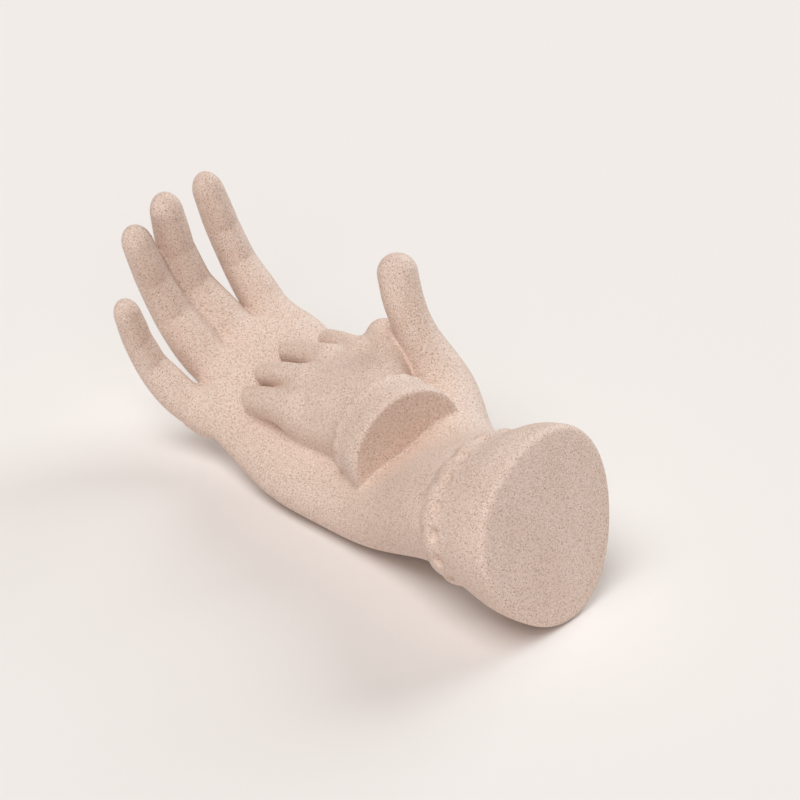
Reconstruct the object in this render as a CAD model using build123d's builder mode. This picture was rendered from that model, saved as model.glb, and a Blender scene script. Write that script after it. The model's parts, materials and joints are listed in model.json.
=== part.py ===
from build123d import *
from math import cos, pi, radians, sin
import os

# A cast ceramic sculpture: an open adult hand that holds a small child's hand.
# Lengths are millimetres and angles degrees. The hand lies on its back: +Y runs from the
# cuff to the fingertips, +X is the thumb side and +Z is up.

# Cuff round the wrist, which closes the sculpture with a flat face
cuff_radius = 41.6
cuff_length = 32.0
cuff_tilt = 14.0
cuff_lobes = 3
cuff_lobe_turn = 46.0
cuff_lobe_share = 0.045
cuff_outline_points = 18
cuff_edge_side_wall = 3.0
cuff_edge_upper_wall = 3.8
cuff_edge_tilt = 18.0
cuff_edge_lift = 4.4
cuff_edge_shift = 0.7
cuff_waist_share = 0.55
cuff_waist_lift_share = 0.4
cuff_waist_width_share = 0.955
cuff_waist_height_share = 0.875
end_disc_thickness = 6.0
end_disc_rim = 3.0
end_disc_back_share = 0.97

# Beading along the edge of the cuff
bead_count = 16
bead_radius = 5.5
bead_stand_out = 2.0
bead_depth = 5.5
bead_groove = 0.6

# Palm and wrist: one body from inside the cuff to the knuckles
palm_start = 24.0
palm_length = 182.0
palm_breadth = 83.0
palm_depth = 38.0
palm_height = 38.0
palm_side_drift = 29.0
palm_side_start = -1.8
palm_roll = 25.0
palm_fullness = 2.25
palm_outline_points = 16

# Each row: place along the palm, sideways drift, height, half breadth, half depth and roll,
# as shares of the palm's length, drift, height, breadth, depth and roll
palm_station_shares = [
    (0.000, 0.000, 1.074, 0.422, 0.710, 0.00),
    (0.088, 0.103, 0.995, 0.410, 0.645, 0.08),
    (0.209, 0.328, 0.771, 0.422, 0.566, 0.20),
    (0.335, 0.552, 0.514, 0.446, 0.500, 0.22),
    (0.473, 0.724, 0.418, 0.470, 0.434, 0.31),
    (0.665, 0.862, 0.500, 0.488, 0.368, 0.58),
    (0.846, 0.948, 0.713, 0.500, 0.303, 0.84),
    (1.000, 1.000, 0.968, 0.482, 0.250, 1.00),
]
palm_end_length = 2.5
palm_end_shrink_share = 0.88
palm_end_skew = 9.0

# Adult fingers. Length, then root, middle and tip radius.
index_size = (76.0, 9.1, 7.5, 5.9)
middle_size = (84.0, 9.2, 8.3, 5.6)
ring_size = (80.5, 9.4, 8.1, 6.1)
little_size = (59.0, 8.0, 6.4, 4.8)
# Sideways spread, lean towards the little finger, and the slope at the root and at the tip
index_pose = (18.0, 16.5, 24.0, 87.0)
middle_pose = (-1.5, 16.5, 18.0, 97.0)
ring_pose = (9.5, 19.5, 27.0, 92.0)
little_pose = (-2.5, 18.5, 30.5, 91.0)
# Root of each finger as shares of the palm's half breadth, the root reach and the half depth
finger_root_reach = 7.0
index_root_shares = (0.77, 0.62, -0.09)
middle_root_shares = (0.31, 1.15, 0.25)
ring_root_shares = (-0.24, 0.80, 0.20)
little_root_shares = (-0.77, 0.58, 0.39)
curl_ease = 1.8
knuckle_run = 20.0
knuckle_start_share = 0.5
knuckle_gather_share = 1.0
finger_stations = 5
curl_steps = 60

# Adult thumb: places from the palm's start, across, along and up, and the radius at each
thumb_length = 92.0
thumb_place_shares = [
    (0.220, 0.334, -0.115),
    (0.402, 0.659, -0.030),
    (0.570, 0.815, 0.118),
    (0.570, 1.004, 0.341),
    (0.590, 1.139, 0.587),
]
thumb_radii = (13.5, 18.6, 14.0, 9.8, 8.5)
thumb_joint_share = 0.58
thumb_stations = 7

# Child's hand, laid palm down across the adult palm
child_place = (10.2, 84.5, 42.0)
child_turn = 15.0
child_roll = 24.0
child_length = 60.0
child_breadth = 52.0
child_depth = 23.0
child_bury = 16.0
# Each row: place along the hand, half breadth and height, as shares of length, breadth, depth
child_station_shares = [
    (0.30, 0.42, 0.97),
    (0.45, 0.43, 1.00),
    (0.65, 0.46, 0.98),
    (0.84, 0.49, 0.91),
    (1.00, 0.50, 0.80),
    (1.08, 0.47, 0.60),
]
child_finger_length = 34.0
child_finger_radius = 6.3
child_fingertip_radius = 5.2
# Each row: place across, height, turn, slope and length share of one finger
child_finger_shares = {
    "child_little_finger": (-0.385, 0.44, -15.0, -9.0, 0.97),
    "child_ring_finger": (-0.128, 0.54, -14.0, -10.0, 1.06),
    "child_middle_finger": (0.128, 0.56, -13.0, -10.0, 1.06),
    "child_index_finger": (0.385, 0.40, -6.0, -8.0, 0.86),
}
child_thumb_length = 33.0
child_thumb_radius = 8.4
child_thumb_tip_radius = 7.4
child_thumb_turn = 33.0
child_thumb_slope = 3.0
child_thumb_place_shares = (0.31, 0.63, 0.22)

# Child's cuff: a flared half round band with a flat end
child_cuff_radius = 27.5
child_cuff_length = 18.0
child_cuff_edge_radius = 25.5
child_cuff_end_thickness = 5.0
child_cuff_rim = 1.6
child_bead_count = 10
child_bead_radius = 3.2
child_bead_stand_out = 0.9
child_bead_depth = 3.0
child_bead_groove = 0.4


# Curves and frames that several pieces share
def lobed_outline(half_width, half_height, lobe_share):
    """Points of a closed outline that swells at evenly spaced lobes."""
    outline = []
    for step in range(cuff_outline_points):
        angle = 2 * pi * step / cuff_outline_points
        swell = 1 + lobe_share * cos(cuff_lobes * (angle - radians(cuff_lobe_turn)))
        outline.append((half_width * swell * cos(angle), half_height * swell * sin(angle)))
    return outline


def oval_outline(half_breadth, half_depth):
    """Points of a slightly squared oval, from its top round to its top again."""
    outline = []
    for step in range(palm_outline_points):
        angle = pi / 2 + 2 * pi * step / palm_outline_points
        squared = abs(cos(angle)) ** palm_fullness + abs(sin(angle)) ** palm_fullness
        reach = squared ** (-1 / palm_fullness)
        outline.append((half_breadth * reach * cos(angle), half_depth * reach * sin(angle)))
    return outline


def closed_sketch(plane, outline):
    """Face inside a smooth closed curve through the points of an outline."""
    with BuildSketch(plane) as section:
        with BuildLine():
            Spline(*outline, periodic=True)
        make_face()
    return section.sketch


def three_point(first, middle, last, share):
    """Parabola through three values at the start, the middle and the end."""
    start_part = first * (1 - share) * (1 - 2 * share)
    return start_part + middle * 4 * share * (1 - share) + last * share * (2 * share - 1)


def curl_frames(root, length, pose):
    """Planes across a finger that curls upwards, from its root to the centre of its tip."""
    spread, lean, start_slope, end_slope = pose
    forward = Vector(sin(radians(spread)), cos(radians(spread)), 0)
    side = forward.cross(Vector(0, 0, 1))
    upward = Vector(0, 0, 1) * cos(radians(lean)) - side * sin(radians(lean))
    point = Vector(*root)
    frames = []
    for step in range(curl_steps + 1):
        share = step / curl_steps
        slope = radians(start_slope + (end_slope - start_slope) * (1 - (1 - share) ** curl_ease))
        heading = forward * cos(slope) + upward * sin(slope)
        frames.append(Plane(origin=point, x_dir=side, z_dir=heading))
        point = point + heading * (length / curl_steps)
    every = curl_steps // finger_stations
    return frames[::every]


def palm_frame(row):
    """Centre, half breadth, half depth and roll of the palm at one row of shares."""
    along, drift, height, breadth, depth, roll = row
    centre = Vector(
        palm_side_start + palm_side_drift * drift,
        palm_start + palm_length * along,
        palm_height * height,
    )
    return centre, palm_breadth * breadth, palm_depth * depth, palm_roll * roll


# Palm and wrist, rolled so that the thumb side stands higher
stations = [palm_frame(row) for row in palm_station_shares]
end_centre, end_breadth, end_depth, end_roll = stations[-1]
end_heading = (end_centre - stations[-2][0]).normalized()
stations.append((
    end_centre + end_heading * palm_end_length,
    end_breadth * palm_end_shrink_share,
    end_depth * palm_end_shrink_share ** 2,
    end_roll,
))
across = Vector(cos(radians(palm_roll)), 0, sin(radians(palm_roll)))
outward = Vector(-sin(radians(palm_roll)), 0, cos(radians(palm_roll)))


def finger_root(shares):
    """Place of a finger's root joint on the end of the palm."""
    side, forward, height = shares
    place = end_centre + across * (side * palm_breadth / 2)
    return place + Vector(0, finger_root_reach * forward, 0) + outward * (height * end_depth)


adult_fingers = {
    "index_finger": (index_root_shares, index_pose, index_size),
    "middle_finger": (middle_root_shares, middle_pose, middle_size),
    "ring_finger": (ring_root_shares, ring_pose, ring_size),
    "little_finger": (little_root_shares, little_pose, little_size),
}


def adult_finger_body(shares, pose, size):
    """A finger from its knuckle inside the palm, through its root and on to its round tip."""
    length, root_radius, middle_radius, tip_radius = size
    inside = end_centre - end_heading * knuckle_run
    inside = inside + across * (shares[0] * knuckle_gather_share * palm_breadth / 2)
    with BuildSketch(Plane(origin=inside, x_dir=across, z_dir=end_heading)) as section:
        Circle(root_radius * knuckle_start_share)
    sections = [section.sketch]
    frames = curl_frames(finger_root(shares), length - tip_radius, pose)
    for number, frame in enumerate(frames):
        radius = three_point(root_radius, middle_radius, tip_radius, number / finger_stations)
        with BuildSketch(frame) as section:
            Circle(radius)
        sections.append(section.sketch)
    loft(sections)
    with Locations(frames[-1].origin):
        Sphere(tip_radius)


# Path of the thumb, from inside the palm over its ball to the tip
thumb_points = [
    Vector(
        thumb_length * x_share,
        palm_start + thumb_length * y_share,
        palm_height + thumb_length * z_share,
    )
    for x_share, y_share, z_share in thumb_place_shares
]
thumb_path = Edge.make_spline(thumb_points)


def thumb_frame(share):
    """Plane across the thumb at a share of its path."""
    return Plane(origin=thumb_path @ share, z_dir=thumb_path % share)


def thumb_radius(share):
    """Radius of the thumb at a share of its path, eased between the named radii."""
    place = share * (len(thumb_radii) - 1)
    first = min(int(place), len(thumb_radii) - 2)
    ease = place - first
    return thumb_radii[first] * (1 - ease) + thumb_radii[first + 1] * ease


def thumb_body(first_share, last_share):
    """The stretch of the thumb between two shares of its path."""
    sections = []
    for number in range(thumb_stations):
        share = first_share + (last_share - first_share) * number / (thumb_stations - 1)
        with BuildSketch(thumb_frame(share)) as section:
            Circle(thumb_radius(share))
        sections.append(section.sketch)
    loft(sections)


# End of the cuff: a flat disc with a soft rim, tilted up a little
cuff_axis = Vector(0, cos(radians(cuff_tilt)), -sin(radians(cuff_tilt)))
face_outline = lobed_outline(cuff_radius, cuff_radius, cuff_lobe_share)
face_drop = -min(height for width, height in face_outline)
face_centre = Vector(0, 0, face_drop * cos(radians(cuff_tilt)))


def cuff_plane(depth):
    """Plane across the cuff at a depth behind its flat face."""
    return Plane(origin=face_centre + cuff_axis * depth, x_dir=(1, 0, 0), z_dir=-cuff_axis)


back_radius = cuff_radius * end_disc_back_share
back_outline = lobed_outline(back_radius, back_radius, cuff_lobe_share)
with BuildPart() as cuff_end_disc:
    loft([
        closed_sketch(cuff_plane(0), face_outline),
        closed_sketch(cuff_plane(end_disc_thickness), back_outline),
    ])
    front_edge = cuff_end_disc.edges().group_by(Axis.Y)[0]
    fillet(front_edge, radius=end_disc_rim)
rest_plane = Plane.XY.offset(cuff_end_disc.part.bounding_box().min.Z)

with BuildPart() as palm:
    sections = []
    for number, (centre, half_breadth, half_depth, roll) in enumerate(stations):
        before = stations[max(number - 1, 0)][0]
        after = stations[min(number + 1, len(stations) - 1)][0]
        skew = palm_end_skew if number == len(stations) - 1 else 0
        side = Vector(cos(radians(roll)), 0, sin(radians(roll))).rotate(Axis.Z, skew)
        heading = (after - before).rotate(Axis.Z, skew)
        plane = Plane(origin=centre, x_dir=side, z_dir=heading)
        sections.append(closed_sketch(plane, oval_outline(half_breadth, half_depth)))
    loft(sections)
    thumb_body(0, thumb_joint_share)
    split(bisect_by=rest_plane, keep=Keep.TOP)

with BuildPart() as thumb:
    thumb_body(thumb_joint_share, 1)
    with Locations(thumb_path @ 1):
        Sphere(thumb_radii[-1])

pieces = {"palm": palm, "thumb": thumb}
for label, (shares, pose, size) in adult_fingers.items():
    with BuildPart() as adult_finger:
        adult_finger_body(shares, pose, size)
        add(palm.part, mode=Mode.SUBTRACT)
    pieces[label] = adult_finger

# Band of the cuff, flared from its beaded edge to the end disc, with a socket for the wrist
edge_tilt = radians(cuff_edge_tilt)
edge_axis = Vector(0, cos(edge_tilt), -sin(edge_tilt))
edge_centre = face_centre + cuff_axis * cuff_length + Vector(cuff_edge_shift, 0, cuff_edge_lift)
edge_plane = Plane(origin=edge_centre, x_dir=(1, 0, 0), z_dir=-edge_axis)
middle_centre = face_centre + cuff_axis * (cuff_length * cuff_waist_share)
middle_centre = middle_centre + Vector(cuff_edge_shift, 0, cuff_edge_lift) * cuff_waist_lift_share
middle_plane = Plane(origin=middle_centre, x_dir=(1, 0, 0), z_dir=-cuff_axis)
wrist_rows = stations[:2]
cuff_edge_breadth = sum(row[1] for row in wrist_rows) / len(wrist_rows) + cuff_edge_side_wall
cuff_edge_depth = sum(row[2] for row in wrist_rows) / len(wrist_rows) + cuff_edge_upper_wall
edge_outline = lobed_outline(cuff_edge_breadth, cuff_edge_depth, 0)
middle_outline = lobed_outline(
    cuff_radius * cuff_waist_width_share,
    cuff_radius * cuff_waist_height_share,
    cuff_lobe_share / 2,
)
with BuildPart() as cuff:
    loft([
        closed_sketch(cuff_plane(end_disc_thickness), back_outline),
        closed_sketch(middle_plane, middle_outline),
        closed_sketch(edge_plane, edge_outline),
    ])
    add(palm.part, mode=Mode.SUBTRACT)

# Scalloped ring of low beads against the cuff's edge
bead_ring_breadth = cuff_edge_breadth + bead_stand_out - bead_radius
bead_ring_depth = cuff_edge_depth + bead_stand_out - bead_radius
with BuildPart() as cuff_beading:
    with BuildSketch(edge_plane):
        Ellipse(cuff_edge_breadth - bead_groove, cuff_edge_depth - bead_groove)
        for number in range(bead_count):
            angle = 2 * pi * (number + 0.5) / bead_count
            with Locations((bead_ring_breadth * cos(angle), bead_ring_depth * sin(angle))):
                Circle(bead_radius)
    extrude(amount=-bead_depth)
    add(palm.part, mode=Mode.SUBTRACT)

# Frame of the child's hand: x across it, y up from the palm, and z back to the child's wrist
child_forward = Vector(sin(radians(child_turn)), cos(radians(child_turn)), 0)
child_level = child_forward.cross(Vector(0, 0, 1))
child_across = child_level * cos(radians(child_roll)) + Vector(0, 0, 1) * sin(radians(child_roll))
child_up = child_across.cross(child_forward)


def child_point(across_share, along, height):
    """Place on the child's hand from its share across, its length along and its height."""
    place = Vector(*child_place) + child_across * (across_share * child_breadth)
    return place + child_forward * along + child_up * height


def child_plane(along):
    """Plane across the child's hand at a length from the end of its cuff."""
    origin = Vector(*child_place) + child_forward * along
    return Plane(origin=origin, x_dir=child_across, z_dir=-child_forward)


def arch_sketch(plane, half_width, height, depth_below):
    """A half round arch on short straight sides that reach below the palm's surface."""
    with BuildSketch(plane) as section:
        with BuildLine():
            EllipticalCenterArc((0, 0), half_width, height, arc_size=180)
            Polyline(
                (-half_width, 0),
                (-half_width, -depth_below),
                (half_width, -depth_below),
                (half_width, 0),
            )
        make_face()
    return section.sketch


with BuildPart() as child_hand:
    sections = []
    for along, breadth, height in child_station_shares:
        plane = child_plane(child_length * along)
        sections.append(
            arch_sketch(plane, child_breadth * breadth, child_depth * height, child_bury)
        )
    loft(sections)
    add(palm.part, mode=Mode.SUBTRACT)

for label, (side, height, turn, slope, length) in child_finger_shares.items():
    heading = child_forward.rotate(Axis(child_place, child_up), -turn)
    heading = heading * cos(radians(slope)) + child_up * sin(radians(slope))
    root = child_point(side, child_length, child_depth * height)
    tip = root + heading * (child_finger_length * length - child_fingertip_radius)
    with BuildPart() as child_finger:
        with BuildSketch(Plane(origin=root, x_dir=child_across, z_dir=child_forward)) as root_section:
            Circle(child_finger_radius)
        with BuildSketch(Plane(origin=tip, x_dir=child_across, z_dir=heading)) as tip_section:
            Circle(child_fingertip_radius)
        loft([root_section.sketch, tip_section.sketch])
        with Locations(tip):
            Sphere(child_fingertip_radius)
        add([palm.part, child_hand.part], mode=Mode.SUBTRACT)
    pieces[label] = child_finger

with BuildPart() as child_thumb:
    side, along, height = child_thumb_place_shares
    heading = child_forward.rotate(Axis(child_place, child_up), -child_thumb_turn)
    heading = heading * cos(radians(child_thumb_slope)) + child_up * sin(radians(child_thumb_slope))
    root = child_point(side, child_length * along, child_depth * height)
    tip = root + heading * (child_thumb_length - child_thumb_tip_radius)
    with BuildSketch(Plane(origin=root, z_dir=heading)) as root_section:
        Circle(child_thumb_radius)
    with BuildSketch(Plane(origin=tip, z_dir=heading)) as tip_section:
        Circle(child_thumb_tip_radius)
    loft([root_section.sketch, tip_section.sketch])
    with Locations(tip):
        Sphere(child_thumb_tip_radius)
    add([palm.part, child_hand.part, pieces["child_index_finger"].part], mode=Mode.SUBTRACT)

# Cuff of the child's sleeve: a flared half round band on the palm, closed by a flat end
child_cuff_taper = (child_cuff_radius - child_cuff_edge_radius) / child_cuff_length


def child_cuff_arch(along):
    """Half round section of the child's cuff at a length from its flat end."""
    radius = child_cuff_radius - child_cuff_taper * along
    return arch_sketch(child_plane(along), radius, radius, child_bury)


with BuildPart() as child_cuff_end:
    loft([child_cuff_arch(0), child_cuff_arch(child_cuff_end_thickness)])
    curved_edges = child_cuff_end.edges().filter_by(GeomType.LINE, reverse=True)
    fillet(curved_edges.sort_by(Axis.Y)[0], radius=child_cuff_rim)
    add(palm.part, mode=Mode.SUBTRACT)

with BuildPart() as child_cuff:
    loft([child_cuff_arch(child_cuff_end_thickness), child_cuff_arch(child_cuff_length)])
    add(palm.part, mode=Mode.SUBTRACT)

# Scalloped beads against the edge of the child's cuff
child_band_radius = child_cuff_edge_radius - child_bead_groove
child_bead_ring = child_cuff_edge_radius + child_bead_stand_out - child_bead_radius
with BuildPart() as child_cuff_beading:
    with BuildSketch(child_plane(child_cuff_length)):
        add(arch_sketch(Plane.XY, child_band_radius, child_band_radius, child_bury))
        for number in range(child_bead_count):
            angle = pi * (number + 0.5) / child_bead_count
            with Locations((child_bead_ring * cos(angle), child_bead_ring * sin(angle))):
                Circle(child_bead_radius)
    extrude(amount=-child_bead_depth)
    add([palm.part, child_hand.part], mode=Mode.SUBTRACT)

pieces.update({
    "cuff_end_disc": cuff_end_disc,
    "cuff": cuff,
    "cuff_beading": cuff_beading,
    "child_hand": child_hand,
    "child_thumb": child_thumb,
    "child_cuff_end": child_cuff_end,
    "child_cuff": child_cuff,
    "child_cuff_beading": child_cuff_beading,
})

# The origin is the middle of the whole sculpture's box, on the surface that it lies on
box = Compound([piece.part for piece in pieces.values()]).bounding_box()
to_origin = Location((-box.center().X, -box.center().Y, -box.min.Z))
os.makedirs("parts", exist_ok=True)
for label, piece in pieces.items():
    placed = piece.part.moved(to_origin)
    placed.label = label
    export_step(placed, f"parts/{label}.step")
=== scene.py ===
"""Ceramic hand sculpture: an open adult hand that holds a child's hand, in matte speckled clay.

The clay has one soft skin without steps, so its forms are worked out as signed distances in
millimetres, blended where the raw pieces were luted together, and the skin is then parted along
the luted seams into one closed mesh for each node of the model.
"""
import json
import logging
from dataclasses import dataclass, field
from enum import Enum
from typing import Callable

import bpy
import numpy as np
from mathutils import Matrix


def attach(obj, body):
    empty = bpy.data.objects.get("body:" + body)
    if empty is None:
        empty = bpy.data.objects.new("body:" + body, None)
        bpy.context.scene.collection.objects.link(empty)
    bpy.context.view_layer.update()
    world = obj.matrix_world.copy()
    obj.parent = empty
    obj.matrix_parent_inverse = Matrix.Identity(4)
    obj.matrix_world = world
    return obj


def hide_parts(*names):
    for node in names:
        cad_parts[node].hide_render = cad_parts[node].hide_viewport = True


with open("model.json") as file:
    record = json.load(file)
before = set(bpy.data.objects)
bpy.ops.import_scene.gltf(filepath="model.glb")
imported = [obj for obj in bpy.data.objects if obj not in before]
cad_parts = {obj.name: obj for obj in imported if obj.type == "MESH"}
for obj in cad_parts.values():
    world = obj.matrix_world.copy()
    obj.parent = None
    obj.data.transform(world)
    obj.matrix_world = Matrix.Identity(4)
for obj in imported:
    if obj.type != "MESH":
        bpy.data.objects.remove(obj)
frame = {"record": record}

Array = np.ndarray
Material = bpy.types.Material
Object = bpy.types.Object
Triple = tuple[float, float, float]
Rows = tuple[tuple[float, ...], ...]

LOG = logging.getLogger("ceramic_hand")
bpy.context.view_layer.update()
METRE = 1000.0  # millimetres in a metre
FAR = 60.0  # distance, in millimetres, given to points well away from a form
TINY = 1e-12  # keeps divisors away from zero
UP = np.array([0.0, 0.0, 1.0])
FINE_SPACING = 1.0  # millimetres between the points of the skin's grid


class Fillet(Enum):
    """Radius, in millimetres, of the soft clay fillet at each kind of luted seam."""

    KNUCKLE = 7.0
    HAND_END = 9.0
    THUMB = 11.0
    WRIST = 2.5
    BEAD = 3.0
    BETWEEN_FINGERS = 1.8
    PIT = BETWEEN_FINGERS
    CLOSE_FINGERS = 5.5
    CHILD_ON_PALM = 2.0
    CHILD_KNUCKLE = 5.0
    CHILD_BETWEEN_FINGERS = 2.4
    CHILD_CUFF = 1.4
    RIM = 3.6
    CHILD_RIM = 1.7
    FOOT = 1.2


def unit(vector: Array) -> Array:
    """The vector, or each row of vectors, at length one."""
    return vector / np.linalg.norm(vector, axis=-1, keepdims=True)


def dot(first: Array, second: Array) -> Array:
    """Dot product of each row with the same row of the other array."""
    return np.einsum("ij,ij->i", first, second)


def swell(place: Array, centre: float, width: float) -> Array:
    """Bell curve over a place: one at its centre, fading over its width."""
    return np.exp(-((place - centre) / width) ** 2)


def eased(share: Array) -> Array:
    """Smooth step 3 s^2 - 2 s^3 of a share that is held between zero and one."""
    share = np.clip(share, 0.0, 1.0)
    return share * share * (3.0 - 2.0 * share)


def lattice(counts: Array) -> Array:
    """Every index of a grid with these counts, one to a row, the last axis fastest."""
    return np.indices(tuple(counts)).reshape(3, -1).T


def join(first: Array, second: Array, fillet: Fillet) -> Array:
    """Union of two forms with a soft fillet.

    The smaller distance, less a quarter of the fillet's square overlap where both are close.

    Args:
        first: distances to one form.
        second: distances to the other form.
        fillet: the kind of seam.

    Returns:
        Distances to the blended form.
    """
    close = np.maximum(fillet.value - np.abs(first - second), 0.0)
    return np.minimum(first, second) - close ** 2 / (4.0 * fillet.value)


def trim(first: Array, second: Array, fillet: Fillet) -> Array:
    """Intersection of two forms with a soft arris: the union of their outsides, turned round."""
    return -join(-first, -second, fillet)


def oval_distance(across: Array, lift: Array, breadth: Array, depth: Array, power: float) -> Array:
    """Signed distances to a squared oval, (across / breadth)^n + (lift / depth)^n = 1.

    The oval's level at a point is the n-th root of the left side, and the distance is the level
    less one, divided by the level's slope there.

    Args:
        across: distances from the oval's middle along its breadth, none below zero.
        lift: distances from its middle along its depth, none below zero.
        breadth: half breadths of the oval.
        depth: half depths of the oval.
        power: the power n, where two gives an ellipse and more squares it up.

    Returns:
        Distances, negative inside.
    """
    u, v = across / breadth, lift / depth
    level = (u ** power + v ** power + TINY) ** (1.0 / power)
    slope = np.hypot(u ** (power - 1) / breadth, v ** (power - 1) / depth)
    return (level - 1.0) / np.maximum(slope * level ** (1.0 - power), 1.0 / breadth)


@dataclass
class SmoothCurve:
    """Natural cubic spline through rows of values at rising places."""

    places: Array
    values: Array
    bends: Array = field(init=False)

    def __post_init__(self) -> None:
        """Solves the spline's second derivatives, which are zero at both ends."""
        self.places = np.asarray(self.places, dtype=float)
        values = np.asarray(self.values, dtype=float)
        self.values = values.reshape(len(values), -1)
        count = len(self.places)
        gaps = np.diff(self.places)
        slopes = np.diff(self.values, axis=0) / gaps[:, None]
        system = np.eye(count)
        wanted = np.zeros_like(self.values)
        inner = np.arange(1, count - 1)
        system[inner, inner - 1] = gaps[:-1]
        system[inner, inner] = 2.0 * (gaps[:-1] + gaps[1:])
        system[inner, inner + 1] = gaps[1:]
        wanted[inner] = 6.0 * np.diff(slopes, axis=0)
        self.bends = np.linalg.solve(system, wanted)

    @classmethod
    def of_rows(cls, rows: Rows) -> "SmoothCurve":
        """Curve through a table whose first column is the place."""
        table = np.array(rows)
        return cls(table[:, 0], table[:, 1:])

    @classmethod
    def steady(cls, value: Array, length: float) -> "SmoothCurve":
        """Curve that keeps one value over a length."""
        return cls(np.array([0.0, length]), np.stack([value, value]))

    def at(self, places: Array, order: int = 0) -> Array:
        """Values of the curve, or of its first or second derivative.

        In a gap g the value is a f0 + b f1 + ((a^3 - a) m0 + (b^3 - b) m1) g^2 / 6, where f are
        the values and m the bends at the gap's ends, b is the share of the gap behind the place
        and a the share ahead of it.

        Args:
            places: any places; those past the curve's ends take the value there.
            order: zero for the value, one or two for a derivative.

        Returns:
            One row of values for each place.
        """
        places = np.clip(places, self.places[0], self.places[-1])
        step = np.searchsorted(self.places, places, side="right") - 1
        step = np.clip(step, 0, len(self.places) - 2)
        gap = (self.places[step + 1] - self.places[step])[:, None]
        ahead = (self.places[step + 1] - places)[:, None] / gap
        behind = 1.0 - ahead
        first, last = self.values[step], self.values[step + 1]
        bend_first, bend_last = self.bends[step], self.bends[step + 1]
        if order == 2:
            return ahead * bend_first + behind * bend_last
        if order == 1:
            bending = (3 * behind ** 2 - 1) * bend_last - (3 * ahead ** 2 - 1) * bend_first
            return (last - first) / gap + bending * gap / 6.0
        bending = (ahead ** 3 - ahead) * bend_first + (behind ** 3 - behind) * bend_last
        return ahead * first + behind * last + bending * gap ** 2 / 6.0


@dataclass
class Form:
    """A solid form of clay, known by its signed distance, in millimetres."""

    reach: float = field(default=14.0, init=False)

    def box(self) -> tuple[Array, Array]:
        """Lowest and highest corner of a box round the form."""
        raise NotImplementedError

    def measure(self, points: Array) -> Array:
        """Signed distances of points near the form."""
        raise NotImplementedError

    def distance(self, points: Array) -> Array:
        """Signed distances of any points, where those well outside the form's box are far away.

        Args:
            points: any points.

        Returns:
            Distances, negative inside.
        """
        low, high = self.box()
        near = np.all((points > low - self.reach) & (points < high + self.reach), axis=1)
        distances = np.full(len(points), FAR)
        if near.any():
            distances[near] = self.measure(points[near])
        return distances


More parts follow.
